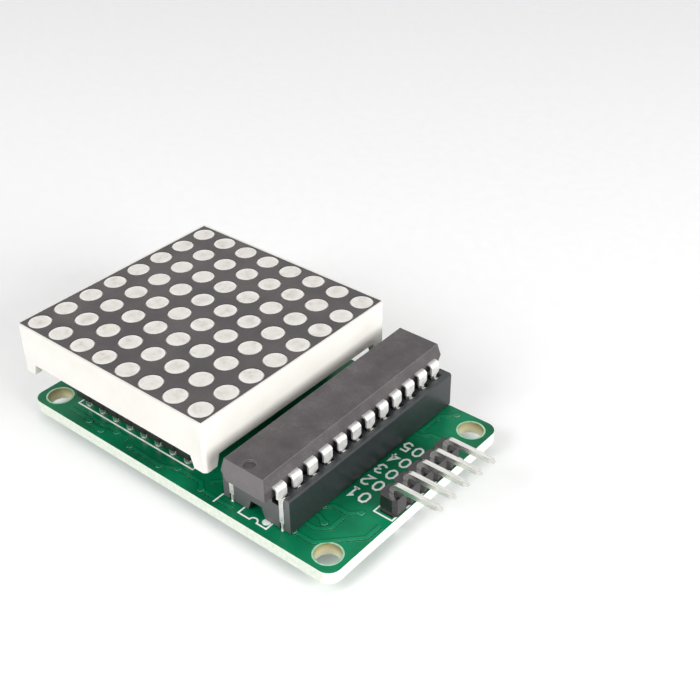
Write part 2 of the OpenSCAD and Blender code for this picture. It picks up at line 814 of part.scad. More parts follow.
board();
display_housing();
face_film();
diffuser_dots();
led_dies();
display_board();
back_potting();
display_pin_row(strip_front_xy);  // display_pins_front
display_pin_row(strip_back_xy);  // display_pins_back
strip_body(-1);  // strip_body_front
strip_body(1);  // strip_body_back
turned_contacts(strip_front_xy);  // strip_contacts_front
turned_contacts(strip_back_xy);  // strip_contacts_back
socket_body();
socket_contacts(socket_left_xy);  // socket_contacts_left
socket_contacts(socket_right_xy);  // socket_contacts_right
chip_body();
chip_legs(1);  // chip_legs_left
chip_legs(0);  // chip_legs_right
header_body();  // input_header_body
mirror([1, 0, 0]) header_body();  // output_header_body
for (i = [1:header_pins]) {
    input_pin(i);
    mirror([1, 0, 0]) input_pin(i);
}
resistor_body();
resistor_leads();
disc_body();
disc_leads();
can_shell();
can_sleeve();
can_bung();
can_leads();
square_joints(concat(socket_left_xy, socket_right_xy), lead_hole_d, fork_tail_t, fork_w);  // solder_socket
round_joints(concat(strip_front_xy, strip_back_xy), contact_tail_d);  // solder_strips
square_joints(input_xy, pin_hole_d, pin_side, pin_side);  // solder_input
square_joints(output_xy, pin_hole_d, pin_side, pin_side);  // solder_output
round_joints(wire_xy, wire_d);  // solder_leads
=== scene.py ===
"""Looks of the 8 x 8 LED dot matrix module: a plug-in display and its driver chip on one circuit board."""
import math

import bmesh
import bpy
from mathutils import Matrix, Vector


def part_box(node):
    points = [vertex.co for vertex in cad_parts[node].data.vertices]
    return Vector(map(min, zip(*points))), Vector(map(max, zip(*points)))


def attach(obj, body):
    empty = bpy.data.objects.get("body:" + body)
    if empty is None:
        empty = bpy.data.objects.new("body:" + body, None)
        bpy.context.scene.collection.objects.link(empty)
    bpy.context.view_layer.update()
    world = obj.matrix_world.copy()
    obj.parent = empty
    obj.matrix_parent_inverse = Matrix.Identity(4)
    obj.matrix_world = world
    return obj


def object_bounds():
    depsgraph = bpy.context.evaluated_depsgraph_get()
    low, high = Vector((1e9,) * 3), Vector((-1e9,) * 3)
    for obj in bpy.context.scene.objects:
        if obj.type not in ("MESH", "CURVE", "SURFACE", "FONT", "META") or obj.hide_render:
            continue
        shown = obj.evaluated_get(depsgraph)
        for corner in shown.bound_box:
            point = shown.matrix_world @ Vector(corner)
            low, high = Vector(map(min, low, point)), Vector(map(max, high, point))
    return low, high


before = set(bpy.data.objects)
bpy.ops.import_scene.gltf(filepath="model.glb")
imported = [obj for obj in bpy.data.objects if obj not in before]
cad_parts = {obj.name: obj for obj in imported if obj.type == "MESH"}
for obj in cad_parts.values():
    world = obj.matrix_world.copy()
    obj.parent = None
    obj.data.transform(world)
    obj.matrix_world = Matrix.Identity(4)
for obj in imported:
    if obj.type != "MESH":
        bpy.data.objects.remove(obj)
bpy.context.view_layer.update()
cad_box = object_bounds()
scene = bpy.context.scene

# ---- Circuit board: solder mask
# A 1.6 mm glass and epoxy laminate with a green solder mask on both faces. The mask is curtain coated, so
# it has a soft gloss with a slight orange peel. The edges were routed, and there the pale laminate shows.
MM = 0.001
# Place and radius of the mounting holes, the radius that takes in their walls, and the board's top, in mm
HOLE_X = 22.5
HOLE_Y = 13.5
HOLE_R = 1.55
WALL_R = HOLE_R + 0.2
BOARD_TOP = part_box("board")[1].z / MM


def linear(shade):
    """An sRGB hex colour as the linear RGBA of a shader socket."""
    parts = [int(shade[i:i + 2], 16) / 255 for i in (0, 2, 4)]
    return [p / 12.92 if p <= 0.04045 else ((p + 0.055) / 1.055) ** 2.4 for p in parts] + [1]


def new_finish(name):
    """An empty material for one real finish."""
    finish = bpy.data.materials.new(name)
    finish.use_nodes = True
    finish.node_tree.nodes.clear()
    return finish


def add(finish, kind, inputs=None, stops=None, **settings):
    """Adds a shader node. Inputs are values, hex colours or sockets to link. Stops are a ramp's colours."""
    made = finish.node_tree.nodes.new("ShaderNode" + kind)
    for name, value in settings.items():
        setattr(made, name, value)
    for place, shade in (stops or {}).items():
        made.color_ramp.elements.new(place).color = linear(shade)
    if stops:
        made.color_ramp.elements.remove(made.color_ramp.elements[0])
        made.color_ramp.elements.remove(made.color_ramp.elements[-1])
    for name, value in (inputs or {}).items():
        if isinstance(value, bpy.types.NodeSocket):
            finish.node_tree.links.new(value, made.inputs[name])
        else:
            made.inputs[name].default_value = linear(value) if isinstance(value, str) else value
    return made


def dress(finish, *names):
    """Puts a finish on CAD solids."""
    for name in names:
        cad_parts[name].material_slots[0].material = finish


# Epoxy solder mask: deep green with a soft gloss, cloudy where the coat runs thicker, on ripples 1.5 mm
# apart. Routed edges show the near-white laminate, and drilled holes a tan wall with painted light and
# shade: pale near the bottom, as if lit from the table, and darker towards the top.
def mask_over(name, deep, mid, light):
    """The mask in one of its greens, by what lies under it."""
    mask = new_finish(name)
    place = add(mask, "TexCoord").outputs["Object"]
    cloud = add(mask, "TexNoise", {"Vector": place, "Scale": 1 / (9 * MM), "Detail": 4.0, "Roughness": 0.6})
    tone = add(mask, "ValToRGB", {"Fac": cloud.outputs["Fac"]}, {0.3: deep, 0.5: mid, 0.72: light})
    side = add(mask, "Math", {0: add(mask, "SeparateXYZ", {
        "Vector": add(mask, "NewGeometry").outputs["Normal"]}).outputs["Z"]}, operation="ABSOLUTE")
    upright = add(mask, "Math", {0: side.outputs["Value"], 1: 0.5}, operation="LESS_THAN")
    weave = add(mask, "TexNoise", {"Vector": place, "Scale": 1 / (0.5 * MM), "Detail": 2.0})
    laminate = add(mask, "ValToRGB", {"Fac": weave.outputs["Fac"]},
                   {0.3: "DDE6D6", 0.5: "E6EEE0", 0.7: "EEF5EA"})
    quarter = add(mask, "VectorMath", {0: place}, operation="ABSOLUTE")
    offset = add(mask, "VectorMath", {0: quarter.outputs["Vector"], 1: (HOLE_X * MM, HOLE_Y * MM, 0)},
                 operation="SUBTRACT")
    flat = add(mask, "VectorMath", {0: offset.outputs["Vector"], 1: (1, 1, 0)}, operation="MULTIPLY")
    reach = add(mask, "VectorMath", {0: flat.outputs["Vector"]}, operation="LENGTH")
    bored = add(mask, "Math", {0: reach.outputs["Value"], 1: WALL_R * MM}, operation="LESS_THAN")
    # Painted light and shade on the drilled holes' walls: pale near the bottom, darker olive towards the top.
    depth = add(mask, "MapRange", {"Value": add(mask, "SeparateXYZ", {"Vector": place}).outputs["Z"],
                                   "From Max": BOARD_TOP * MM})
    painted_wall_shade = add(mask, "ValToRGB", {"Fac": depth.outputs["Result"]},
               {0.0: "E6E4D0", 0.45: "D2CCA6", 0.9: "988C5C"})
    edge = add(mask, "Mix", {"Factor": bored.outputs["Value"], 6: laminate.outputs["Color"],
                             7: painted_wall_shade.outputs["Color"]}, data_type="RGBA")
    coat = add(mask, "Mix", {"Factor": upright.outputs["Value"], 6: tone.outputs["Color"],
                             7: edge.outputs[2]}, data_type="RGBA")
    ripple = add(mask, "TexNoise", {"Vector": place, "Scale": 1 / (1.5 * MM), "Detail": 3.0})
    relief = add(mask, "Bump", {"Height": ripple.outputs["Fac"], "Strength": 0.12, "Distance": 0.05 * MM})
    rough = add(mask, "MapRange", {"Value": cloud.outputs["Fac"], "To Min": 0.3, "To Max": 0.42})
    body = add(mask, "BsdfPrincipled", {"Base Color": coat.outputs[2], "Roughness": rough.outputs["Result"],
                                        "Specular IOR Level": 0.2, "Normal": relief.outputs["Normal"]})
    add(mask, "OutputMaterial", {"Surface": body.outputs["BSDF"]})
    return mask


mask_on_copper = mask_over("solder_mask_over_copper", "005C3C", "00744C", "068E60")
dress(mask_on_copper, "board")

# ---- Circuit board: tracks
# Copper tracks under the mask, so each stands up a little and has a darker moat on both sides, where the
# mask lies on bare laminate between the track and the copper round it. Round vias end some of them.
TRACK_W = 0.45
MOAT_W = 0.22
TRACKS = [
    [(21.3, -6.3), (20.2, -7.3), (18.2, -7.3), (17.1, -8.2)],
    [(20.2, -8.1), (20.2, -10.2), (19.0, -11.4), (17.4, -11.4)],
    [(19.1, -10.1), (17.9, -9.6), (17.3, -9.6)],
    [(17.3, -13.2), (20.1, -13.2), (21.2, -12.1), (24.2, -9.0), (24.2, -6.6)],
    [(19.5, 14.9), (17.9, 13.3), (17.9, 9.6)],
    [(21.2, 9.8), (19.3, 9.8), (18.3, 8.8), (17.4, 8.8)],
    [(-19.4, -14.3), (-15.5, -14.3), (-14.9, -14.9), (-12.9, -14.9)],
    [(-15.9, -13.95), (-13.3, -13.95), (-12.7, -13.6), (-11.1, -13.9), (-9.0, -13.9)],
    [(-7.9, -14.7), (-2.4, -14.9), (-0.3, -13.9), (3.6, -13.9), (4.4, -14.8), (9.4, -14.8)],
    [(4.4, -13.2), (6.0, -11.6), (8.6, -11.6)],
]
VIA_R = 0.42
VIA_MOAT_R = 0.62
VIAS = [
    (21.3, -6.3), (17.1, -8.2), (19.1, -10.1), (17.3, -13.2), (19.5, 14.9), (-15.5, -14.6), (-12.9, -14.9),
    (-11.1, -13.9), (-7.9, -14.7), (-2.4, -15.0), (-0.3, -13.9), (4.4, -14.8)]
# How far each film reaches into the board, and how far each kind stands above it, in mm
SUNK = 0.05
MOAT_RISE = 0.003
VIA_MOAT_RISE = 0.006
TRACK_RISE = 0.008
VIA_RISE = 0.03


def lay_line(film, points, width, low, high, closed=False):
    """Adds a flat line with mitred corners that follows points, between two heights. All sizes are in mm."""
    line = [Vector(p) for p in points]
    rows = []
    for i, point in enumerate(line):
        ahead = line[(i + 1) % len(line)] - point
        behind = point - line[i - 1]
        if not closed and i == 0:
            behind = ahead
        if not closed and i == len(line) - 1:
            ahead = behind
        ahead.normalize()
        behind.normalize()
        along = (ahead + behind).normalized()
        across = Vector((-along.y, along.x)) * width / 2 / max(0.4, along.dot(ahead))
        rows.append([film.verts.new((*((point + across * s) * MM), z * MM))
                     for s, z in ((1, low), (1, high), (-1, high), (-1, low))])
    spans = range(len(rows) if closed else len(rows) - 1)
    for i in spans:
        near, far = rows[i], rows[(i + 1) % len(rows)]
        for k in range(4):
            film.faces.new((near[k], near[(k + 1) % 4], far[(k + 1) % 4], far[k]))
    if not closed:
        film.faces.new(rows[0])
        film.faces.new(rows[-1])


def arc(x, y, radius, start=0, end=360, steps=32):
    """Points on an arc, in mm and degrees. A full circle leaves out its last point."""
    count = steps if end - start == 360 else steps + 1
    return [(x + radius * math.cos(math.radians(start + (end - start) * i / steps)),
             y + radius * math.sin(math.radians(start + (end - start) * i / steps))) for i in range(count)]


def lay_dome(film, x, y, radius, low, high):
    """Adds a low round bump, such as a mask-covered via or a dot of ink."""
    rings = [[film.verts.new((px * MM, py * MM, z * MM)) for px, py in arc(x, y, r, steps=20)]
             for r, z in ((radius, low), (radius * 0.93, high - 0.006), (radius * 0.6, high))]
    for outer, inner in zip(rings, rings[1:]):
        for k in range(20):
            film.faces.new((outer[k], outer[(k + 1) % 20], inner[(k + 1) % 20], inner[k]))
    film.faces.new(rings[-1])


def settle(name, film, finish):
    """Turns a bmesh into a piece that rides on the module."""
    bmesh.ops.recalc_face_normals(film, faces=film.faces)
    mesh = bpy.data.meshes.new(name)
    film.to_mesh(mesh)
    film.free()
    mesh.materials.append(finish)
    made = bpy.data.objects.new(name, mesh)
    scene.collection.objects.link(made)
    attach(made, "root")


moats = bmesh.new()
tracks = bmesh.new()
for route in TRACKS:
    lay_line(moats, route, TRACK_W + 2 * MOAT_W, BOARD_TOP - SUNK, BOARD_TOP + MOAT_RISE)
    lay_line(tracks, route, TRACK_W, BOARD_TOP - SUNK, BOARD_TOP + TRACK_RISE)
for x, y in VIAS:
    lay_dome(moats, x, y, VIA_MOAT_R, BOARD_TOP - SUNK, BOARD_TOP + VIA_MOAT_RISE)
    lay_dome(tracks, x, y, VIA_R, BOARD_TOP - SUNK, BOARD_TOP + VIA_RISE)
settle("track_moats", moats,
       mask_over("solder_mask_over_laminate", "004E32", "006240", "027850"))
settle("tracks", tracks, mask_over("solder_mask_over_track", "006644", "047E54", "0C966A"))

# ---- Circuit board: tinned pads
# A ring of hot-air-levelled tin round every plated hole on the solder side, and on both sides of the header
# pins. Round the four mounting holes the mask leaves a narrow ring of bare laminate free.
# Pitch, half of a wire, a pin's side, and the radii of holes and pads for leads and for pins, in mm
PITCH = 2.54
WIRE_R = 0.25
PIN_SIDE = 0.64
LEAD_HOLE_R = 0.42
LEAD_PAD_R = 0.98
PIN_HOLE_R = 0.55
PIN_PAD_R = 1.14
PAD_RISE = 0.03


def row_of(name, count):
    """Places of a row of leads, from the box of the solids in it, in mm."""
    low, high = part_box(name)
    middle = (low + high) / 2 / MM
    along_x = high.x - low.x > high.y - low.y
    steps = [(i - (count - 1) / 2) * PITCH for i in range(count)]
    return [(middle.x + s, middle.y) if along_x else (middle.x, middle.y + s) for s in steps]


# Hot-air-levelled tin: bright and soft, with a slow ripple from the air knife and a few dull patches.
tin_coat = new_finish("levelled_tin")
place = add(tin_coat, "TexCoord").outputs["Object"]
flow = add(tin_coat, "TexNoise", {"Vector": place, "Scale": 1 / (0.7 * MM), "Detail": 3.0})
tone = add(tin_coat, "ValToRGB", {"Fac": flow.outputs["Fac"]}, {0.3: "B9B9B4", 0.6: "DAD9D4", 0.8: "ECEBE6"})
rough = add(tin_coat, "MapRange", {"Value": flow.outputs["Fac"], "To Min": 0.2, "To Max": 0.42})
relief = add(tin_coat, "Bump", {"Height": flow.outputs["Fac"], "Strength": 0.3, "Distance": 0.06 * MM})
body = add(tin_coat, "BsdfPrincipled", {"Base Color": tone.outputs["Color"], "Metallic": 1.0,
                                        "Roughness": rough.outputs["Result"],
                                        "Normal": relief.outputs["Normal"]})
add(tin_coat, "OutputMaterial", {"Surface": body.outputs["BSDF"]})

lead_places = (row_of("strip_contacts_front", 8) + row_of("strip_contacts_back", 8)
               + row_of("socket_contacts_left", 12) + row_of("socket_contacts_right", 12))
for wires in ("resistor_leads", "disc_leads", "can_leads"):
    wires_low, wires_high = (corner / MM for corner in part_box(wires))
    middle = (wires_low + wires_high) / 2
    if wires == "disc_leads":
        lead_places += [(wires_low.x + WIRE_R, middle.y), (wires_high.x - WIRE_R, middle.y)]
    elif wires == "can_leads":
        lead_places += [(wires_low.x + WIRE_R, y) for y in (wires_low.y + WIRE_R, wires_high.y - WIRE_R)]
    else:
        lead_places += [(middle.x, wires_low.y + WIRE_R), (middle.x, wires_high.y - WIRE_R)]
pin_low, pin_high = (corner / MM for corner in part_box("input_pin_1"))
HEADER_X = pin_low.x + PIN_SIDE / 2
HEADER_Y = [(pin_low.y + pin_high.y) / 2 + i * PITCH for i in range(5)]


def lay_ring(film, x, y, inner, outer, low, high, steps):
    """Adds a flat ring between two radii, such as a pad or the bare rim of a hole."""
    lay_line(film, arc(x, y, (inner + outer) / 2, steps=steps), outer - inner, low, high, closed=True)


pads = bmesh.new()
for x, y in lead_places:
    lay_ring(pads, x, y, LEAD_HOLE_R, LEAD_PAD_R, SUNK, -PAD_RISE, 24)
for x in (-HEADER_X, HEADER_X):
    for y in HEADER_Y:
        lay_ring(pads, x, y, PIN_HOLE_R, PIN_PAD_R, BOARD_TOP - SUNK, BOARD_TOP + PAD_RISE, 24)
        lay_ring(pads, x, y, PIN_HOLE_R, PIN_PAD_R, SUNK, -PAD_RISE, 24)
settle("solder_pads", pads, tin_coat)

# Bare laminate under the mask's thin edge: pale green, with the glass weave 0.5 mm apart just showing.
laminate = new_finish("bare_glass_epoxy")
place = add(laminate, "TexCoord").outputs["Object"]
weave = add(laminate, "TexNoise", {"Vector": place, "Scale": 1 / (0.5 * MM), "Detail": 2.0})
tone = add(laminate, "ValToRGB", {"Fac": weave.outputs["Fac"]}, {0.3: "8FC3A0", 0.5: "A6D2B2", 0.7: "BCE0C4"})
relief = add(laminate, "Bump", {"Height": weave.outputs["Fac"], "Strength": 0.2, "Distance": 0.03 * MM})
body = add(laminate, "BsdfPrincipled", {"Base Color": tone.outputs["Color"], "Roughness": 0.5, "IOR": 1.52,
                                        "Normal": relief.outputs["Normal"]})
add(laminate, "OutputMaterial", {"Surface": body.outputs["BSDF"]})
RIM_INNER = HOLE_R + 0.02
RIM_OUTER = HOLE_R + 0.24
RIM_RISE = 0.005
rims = bmesh.new()
for x in (-HOLE_X, HOLE_X):
    for y in (-HOLE_Y, HOLE_Y):
        lay_ring(rims, x, y, RIM_INNER, RIM_OUTER, BOARD_TOP - SUNK, BOARD_TOP + RIM_RISE, 48)
        lay_ring(rims, x, y, RIM_INNER, RIM_OUTER, SUNK, -RIM_RISE, 48)
settle("hole_rims", rims, laminate)

# ---- Circuit board: printed marks
# White epoxy ink, screen printed in lines 0.2 mm wide: outlines of the parts that plug in or stand there,
# a dot at the chip's first leg, and plain numbers in bolder lines for the pins of each header.
INK_W = 0.2
INK_TOP = BOARD_TOP + 0.03
DIGIT_H = 1.5
DIGIT_W = 1.0
DIGIT_STEP = 1.65
DIGIT_LINE_W = INK_W * 1.4
# The strokes of each numeral, in parts of its width and height
GLYPHS = {
    "0": [[(0.3, 0), (0.7, 0), (1, 0.25), (1, 0.75), (0.7, 1), (0.3, 1), (0, 0.75), (0, 0.25), (0.3, 0)]],
    "1": [[(0.15, 0.75), (0.55, 1), (0.55, 0)], [(0.15, 0), (0.95, 0)]],
    "2": [[(0, 0.78), (0.25, 1), (0.75, 1), (1, 0.78), (1, 0.6), (0, 0), (1, 0)]],
    "3": [[(0, 0.85), (0.3, 1), (0.75, 1), (1, 0.78), (0.7, 0.54), (0.4, 0.54)],
          [(0.7, 0.54), (1, 0.3), (0.75, 0), (0.3, 0), (0, 0.15)]],
    "4": [[(0.72, 0), (0.72, 1), (0, 0.32), (1, 0.32)]],
    "5": [[(0.95, 1), (0.1, 1), (0.05, 0.56), (0.7, 0.6), (1, 0.36), (0.75, 0), (0.3, 0), (0, 0.14)]],
}


def print_number(film, digits, x, y, facing):
    """Prints a number whose first digit is centred on x and y. Facing 1 reads along +X, -1 along -X."""
    for order, digit in enumerate(digits):
        for stroke in GLYPHS[digit]:
            points = [(x + facing * (order * DIGIT_STEP + (px - 0.5) * DIGIT_W),
                       y + facing * (py - 0.5) * DIGIT_H) for px, py in stroke]
            lay_line(film, points, DIGIT_LINE_W, BOARD_TOP - SUNK, INK_TOP)


def print_box(film, x0, y0, x1, y1):
    """Prints a rectangle's outline."""
    lay_line(film, [(x0, y0), (x1, y0), (x1, y1), (x0, y1)], INK_W, BOARD_TOP - SUNK, INK_TOP, closed=True)


# Screen ink: dense white, faintly mottled, with a dry, slightly chalky surface.
ink = new_finish("white_screen_ink")
place = add(ink, "TexCoord").outputs["Object"]
chalk = add(ink, "TexNoise", {"Vector": place, "Scale": 1 / (0.25 * MM), "Detail": 4.0})
tone = add(ink, "ValToRGB", {"Fac": chalk.outputs["Fac"]}, {0.3: "E8F1EB", 0.55: "FCFEFC"})
relief = add(ink, "Bump", {"Height": chalk.outputs["Fac"], "Strength": 0.3, "Distance": 0.02 * MM})
body = add(ink, "BsdfPrincipled", {"Base Color": tone.outputs["Color"], "Roughness": 0.6, "IOR": 1.5,
                                   "Normal": relief.outputs["Normal"]})
add(ink, "OutputMaterial", {"Surface": body.outputs["BSDF"]})

marks = bmesh.new()
print_box(marks, -19.4, -13.0, 1.24, -11.1)
print_box(marks, -19.4, 11.1, 1.24, 13.0)
lay_line(marks, [(10.5, 16.0), (10.5, -14.9), (12.2, -14.9), *arc(12.75, -14.9, 0.55, 180, 0, 12)[1:-1],
                 (13.3, -14.9), (14.75, -14.9), (14.75, 16.0)], INK_W, BOARD_TOP - SUNK, INK_TOP)
lay_line(marks, [(7.03, -15.4), (7.03, -13.7)], INK_W, BOARD_TOP - SUNK, INK_TOP)
lay_dome(marks, 14.06, -14.04, 0.55, BOARD_TOP - SUNK, INK_TOP)
print_box(marks, 22.2, -5.2, 24.75, 8.3)
print_box(marks, -24.75, -5.2, -22.2, 8.3)
for number, y in enumerate(HEADER_Y, 1):
    print_number(marks, "0" + str(number), 20.0, y - 0.6, -1)
    print_number(marks, str(number), -20.6, y, 1)
print_box(marks, -17.9, -3.4, -15.1, 3.4)
lay_line(marks, arc(-3.0, -5.5, 2.3, steps=40), INK_W, BOARD_TOP - SUNK, INK_TOP, closed=True)
print_box(marks, -12.1, 0.7, -0.7, 6.3)
settle("printed_marks", marks, ink)

# ---- Solder joints
# Lead-free solder, drawn up each lead as a small cone under the board. It froze bright with a fine grain.
solder = new_finish("frozen_solder")
place = add(solder, "TexCoord").outputs["Object"]
grain = add(solder, "TexNoise", {"Vector": place, "Scale": 1 / (0.3 * MM), "Detail": 5.0, "Roughness": 0.65})
tone = add(solder, "ValToRGB", {"Fac": grain.outputs["Fac"]}, {0.3: "A8A9A8", 0.55: "CFCFCC", 0.8: "E6E6E2"})
rough = add(solder, "MapRange", {"Value": grain.outputs["Fac"], "To Min": 0.2, "To Max": 0.45})
relief = add(solder, "Bump", {"Height": grain.outputs["Fac"], "Strength": 0.35, "Distance": 0.05 * MM})
body = add(solder, "BsdfPrincipled", {"Base Color": tone.outputs["Color"], "Metallic": 1.0,
                                      "Roughness": rough.outputs["Result"],
                                      "Normal": relief.outputs["Normal"]})
add(solder, "OutputMaterial", {"Surface": body.outputs["BSDF"]})
dress(solder, "solder_socket", "solder_strips", "solder_input", "solder_output", "solder_leads")

# ---- Passive parts under the display
# A metal film resistor in a dipped coat with printed bands, a ceramic capacitor in a dipped epoxy coat, and
# a small electrolytic capacitor laid flat: an aluminium can in a shrunk sleeve with a rubber bung.
# Dipped coat: pale blue and glossy, with bands of enamel at their real places along the body.
RESISTOR_HALF = 3.15
resistor_coat = new_finish("dipped_resistor_coat")
place = add(resistor_coat, "TexCoord").outputs["Object"]
along = add(resistor_coat, "SeparateXYZ", {"Vector": place})
reach = add(resistor_coat, "MapRange", {"Value": along.outputs["Y"], "From Min": -RESISTOR_HALF * MM,
                                        "From Max": RESISTOR_HALF * MM})
bands = add(resistor_coat, "ValToRGB", {"Fac": reach.outputs["Result"]}, {
    0.0: "8FB4C4", 0.1: "7A4A2C", 0.19: "8FB4C4", 0.32: "1C1A1A", 0.41: "8FB4C4",
    0.5: "C47A2C", 0.59: "8FB4C4", 0.82: "7A4A2C", 0.91: "8FB4C4"})
bands.color_ramp.interpolation = "CONSTANT"
lumps = add(resistor_coat, "TexNoise", {"Vector": place, "Scale": 1 / (0.8 * MM), "Detail": 2.0})
relief = add(resistor_coat, "Bump", {"Height": lumps.outputs["Fac"], "Strength": 0.3, "Distance": 0.05 * MM})
body = add(resistor_coat, "BsdfPrincipled", {"Base Color": bands.outputs["Color"], "Roughness": 0.3,
                                             "IOR": 1.5, "Normal": relief.outputs["Normal"]})
add(resistor_coat, "OutputMaterial", {"Surface": body.outputs["BSDF"]})
dress(resistor_coat, "resistor_body")

# Dipped epoxy: ochre, with the thick and thin places of a dip.
disc_coat = new_finish("dipped_epoxy_coat")
place = add(disc_coat, "TexCoord").outputs["Object"]
lumps = add(disc_coat, "TexNoise", {"Vector": place, "Scale": 1 / (1.2 * MM), "Detail": 3.0})
tone = add(disc_coat, "ValToRGB", {"Fac": lumps.outputs["Fac"]},
           {0.3: "A9722E", 0.55: "C08A3E", 0.75: "CC9A50"})
relief = add(disc_coat, "Bump", {"Height": lumps.outputs["Fac"], "Strength": 0.4, "Distance": 0.08 * MM})
body = add(disc_coat, "BsdfPrincipled", {"Base Color": tone.outputs["Color"], "Roughness": 0.35, "IOR": 1.5,
                                         "Normal": relief.outputs["Normal"]})
add(disc_coat, "OutputMaterial", {"Surface": body.outputs["BSDF"]})
dress(disc_coat, "disc_body")

# Drawn aluminium: soft grey metal with faint rings from the drawing die, 1 mm apart along the can.
can_metal = new_finish("drawn_aluminium")
place = add(can_metal, "TexCoord").outputs["Object"]
rings = add(can_metal, "TexWave", {"Vector": place, "Scale": 1 / (3.2 * MM), "Distortion": 0.4})
rough = add(can_metal, "MapRange", {"Value": rings.outputs["Fac"], "To Min": 0.28, "To Max": 0.4})
relief = add(can_metal, "Bump", {"Height": rings.outputs["Fac"], "Strength": 0.1, "Distance": 0.02 * MM})
body = add(can_metal, "BsdfPrincipled", {"Base Color": "C9CACB", "Metallic": 1.0,
                                         "Roughness": rough.outputs["Result"],
                                         "Normal": relief.outputs["Normal"]})
add(can_metal, "OutputMaterial", {"Surface": body.outputs["BSDF"]})
dress(can_metal, "can_shell")

# Shrunk PVC sleeve: navy, smooth and slightly wavy, with a pale stripe down the negative side.
SLEEVE_LOW = 0.9
SLEEVE_HIGH = 6.1
sleeve = new_finish("shrunk_pvc_sleeve")
place = add(sleeve, "TexCoord").outputs["Object"]
across = add(sleeve, "SeparateXYZ", {"Vector": place})
stripe = add(sleeve, "MapRange", {"Value": across.outputs["Y"], "From Min": SLEEVE_LOW * MM,
                                  "From Max": SLEEVE_HIGH * MM})
tone = add(sleeve, "ValToRGB", {"Fac": stripe.outputs["Result"]},
           {0.0: "A9B4C8", 0.07: "1C2A4A", 1.0: "22325A"})
wave = add(sleeve, "TexNoise", {"Vector": place, "Scale": 1 / (2 * MM), "Detail": 2.0})
relief = add(sleeve, "Bump", {"Height": wave.outputs["Fac"], "Strength": 0.25, "Distance": 0.08 * MM})
body = add(sleeve, "BsdfPrincipled", {"Base Color": tone.outputs["Color"], "Roughness": 0.28, "IOR": 1.53,
                                      "Normal": relief.outputs["Normal"]})
add(sleeve, "OutputMaterial", {"Surface": body.outputs["BSDF"]})
dress(sleeve, "can_sleeve")

# Moulded rubber: black and matt, with a fine grain 0.2 mm across.
rubber = new_finish("moulded_rubber")
place = add(rubber, "TexCoord").outputs["Object"]
grain = add(rubber, "TexNoise", {"Vector": place, "Scale": 1 / (0.2 * MM), "Detail": 3.0})
tone = add(rubber, "ValToRGB", {"Fac": grain.outputs["Fac"]}, {0.3: "1A1A1B", 0.7: "2C2B2C"})
relief = add(rubber, "Bump", {"Height": grain.outputs["Fac"], "Strength": 0.4, "Distance": 0.03 * MM})
body = add(rubber, "BsdfPrincipled", {"Base Color": tone.outputs["Color"], "Roughness": 0.8, "IOR": 1.52,
                                      "Normal": relief.outputs["Normal"]})
add(rubber, "OutputMaterial", {"Surface": body.outputs["BSDF"]})
dress(rubber, "can_bung")

# ---- Socket strips under the display
# Two strips of black glass-filled polyester with eight turned brass contacts each, tin plated.
# Glass-filled polyester: near black, half matt, with a faint grain of fibres 0.3 mm long.
def black_moulding(name, dark, light, smooth, dull, fibre, painted_end_light=None):
    """A dark moulded plastic. The last colour, if given, is painted light on its ends, the faces along Y."""
    plastic = new_finish(name)
    place = add(plastic, "TexCoord").outputs["Object"]
    fibres = add(plastic, "TexNoise", {"Vector": place, "Scale": 1 / (fibre * MM), "Detail": 5.0,
                                       "Roughness": 0.7})
    tone = add(plastic, "ValToRGB", {"Fac": fibres.outputs["Fac"]}, {0.32: dark, 0.7: light})
    shade = tone.outputs["Color"]
    if painted_end_light:
        # Painted light: faces along Y take the paler end colour.
        side = add(plastic, "Math", {0: add(plastic, "SeparateXYZ", {
            "Vector": add(plastic, "NewGeometry").outputs["Normal"]}).outputs["Y"]}, operation="ABSOLUTE")
        painted_lit_end = add(plastic, "Math", {0: side.outputs["Value"], 1: 0.7}, operation="GREATER_THAN")
        shade = add(plastic, "Mix", {"Factor": painted_lit_end.outputs["Value"], 6: shade, 7: painted_end_light},
                    data_type="RGBA").outputs[2]
    rough = add(plastic, "MapRange", {"Value": fibres.outputs["Fac"], "From Min": 0.3, "From Max": 0.7,
                                      "To Min": smooth, "To Max": dull})
    edge = add(plastic, "Bevel", {"Radius": 0.08 * MM}, samples=6)
    relief = add(plastic, "Bump", {"Height": fibres.outputs["Fac"], "Strength": 0.25, "Distance": 0.04 * MM,
                                   "Normal": edge.outputs["Normal"]})
    body = add(plastic, "BsdfPrincipled", {"Base Color": shade,
                                           "Roughness": rough.outputs["Result"], "IOR": 1.58,
                                           "Normal": relief.outputs["Normal"]})
    add(plastic, "OutputMaterial", {"Surface": body.outputs["BSDF"]})
    return plastic


dress(black_moulding("glass_filled_polyester", "161516", "252324", 0.35, 0.5, 0.3),
      "strip_body_front", "strip_body_back")

# Turned and plated brass: bright, with the lathe's rings 0.75 mm apart round each contact.
turned = new_finish("turned_tinned_brass")
place = add(turned, "TexCoord").outputs["Object"]
rings = add(turned, "TexWave", {"Vector": place, "Scale": 1 / (2.4 * MM), "Distortion": 0.3},
            bands_direction="Z")
rough = add(turned, "MapRange", {"Value": rings.outputs["Fac"], "To Min": 0.18, "To Max": 0.3})
relief = add(turned, "Bump", {"Height": rings.outputs["Fac"], "Strength": 0.15, "Distance": 0.02 * MM})
body = add(turned, "BsdfPrincipled", {"Base Color": "DEDCD6", "Metallic": 1.0,
                                      "Roughness": rough.outputs["Result"],
                                      "Normal": relief.outputs["Normal"]})
add(turned, "OutputMaterial", {"Surface": body.outputs["BSDF"]})
dress(turned, "strip_contacts_front", "strip_contacts_back")

# ---- Chip socket
# A ladder of dark grey polyester, moulded in one piece, with a fork contact of tinned bronze pushed in
# from below at each of the 24 places. Its ends, the faces along Y, are painted paler as painted light.
dress(black_moulding("dark_grey_polyester", "1E2224", "2C3032", 0.3, 0.46, 0.45, "5E5F61"), "socket_body")

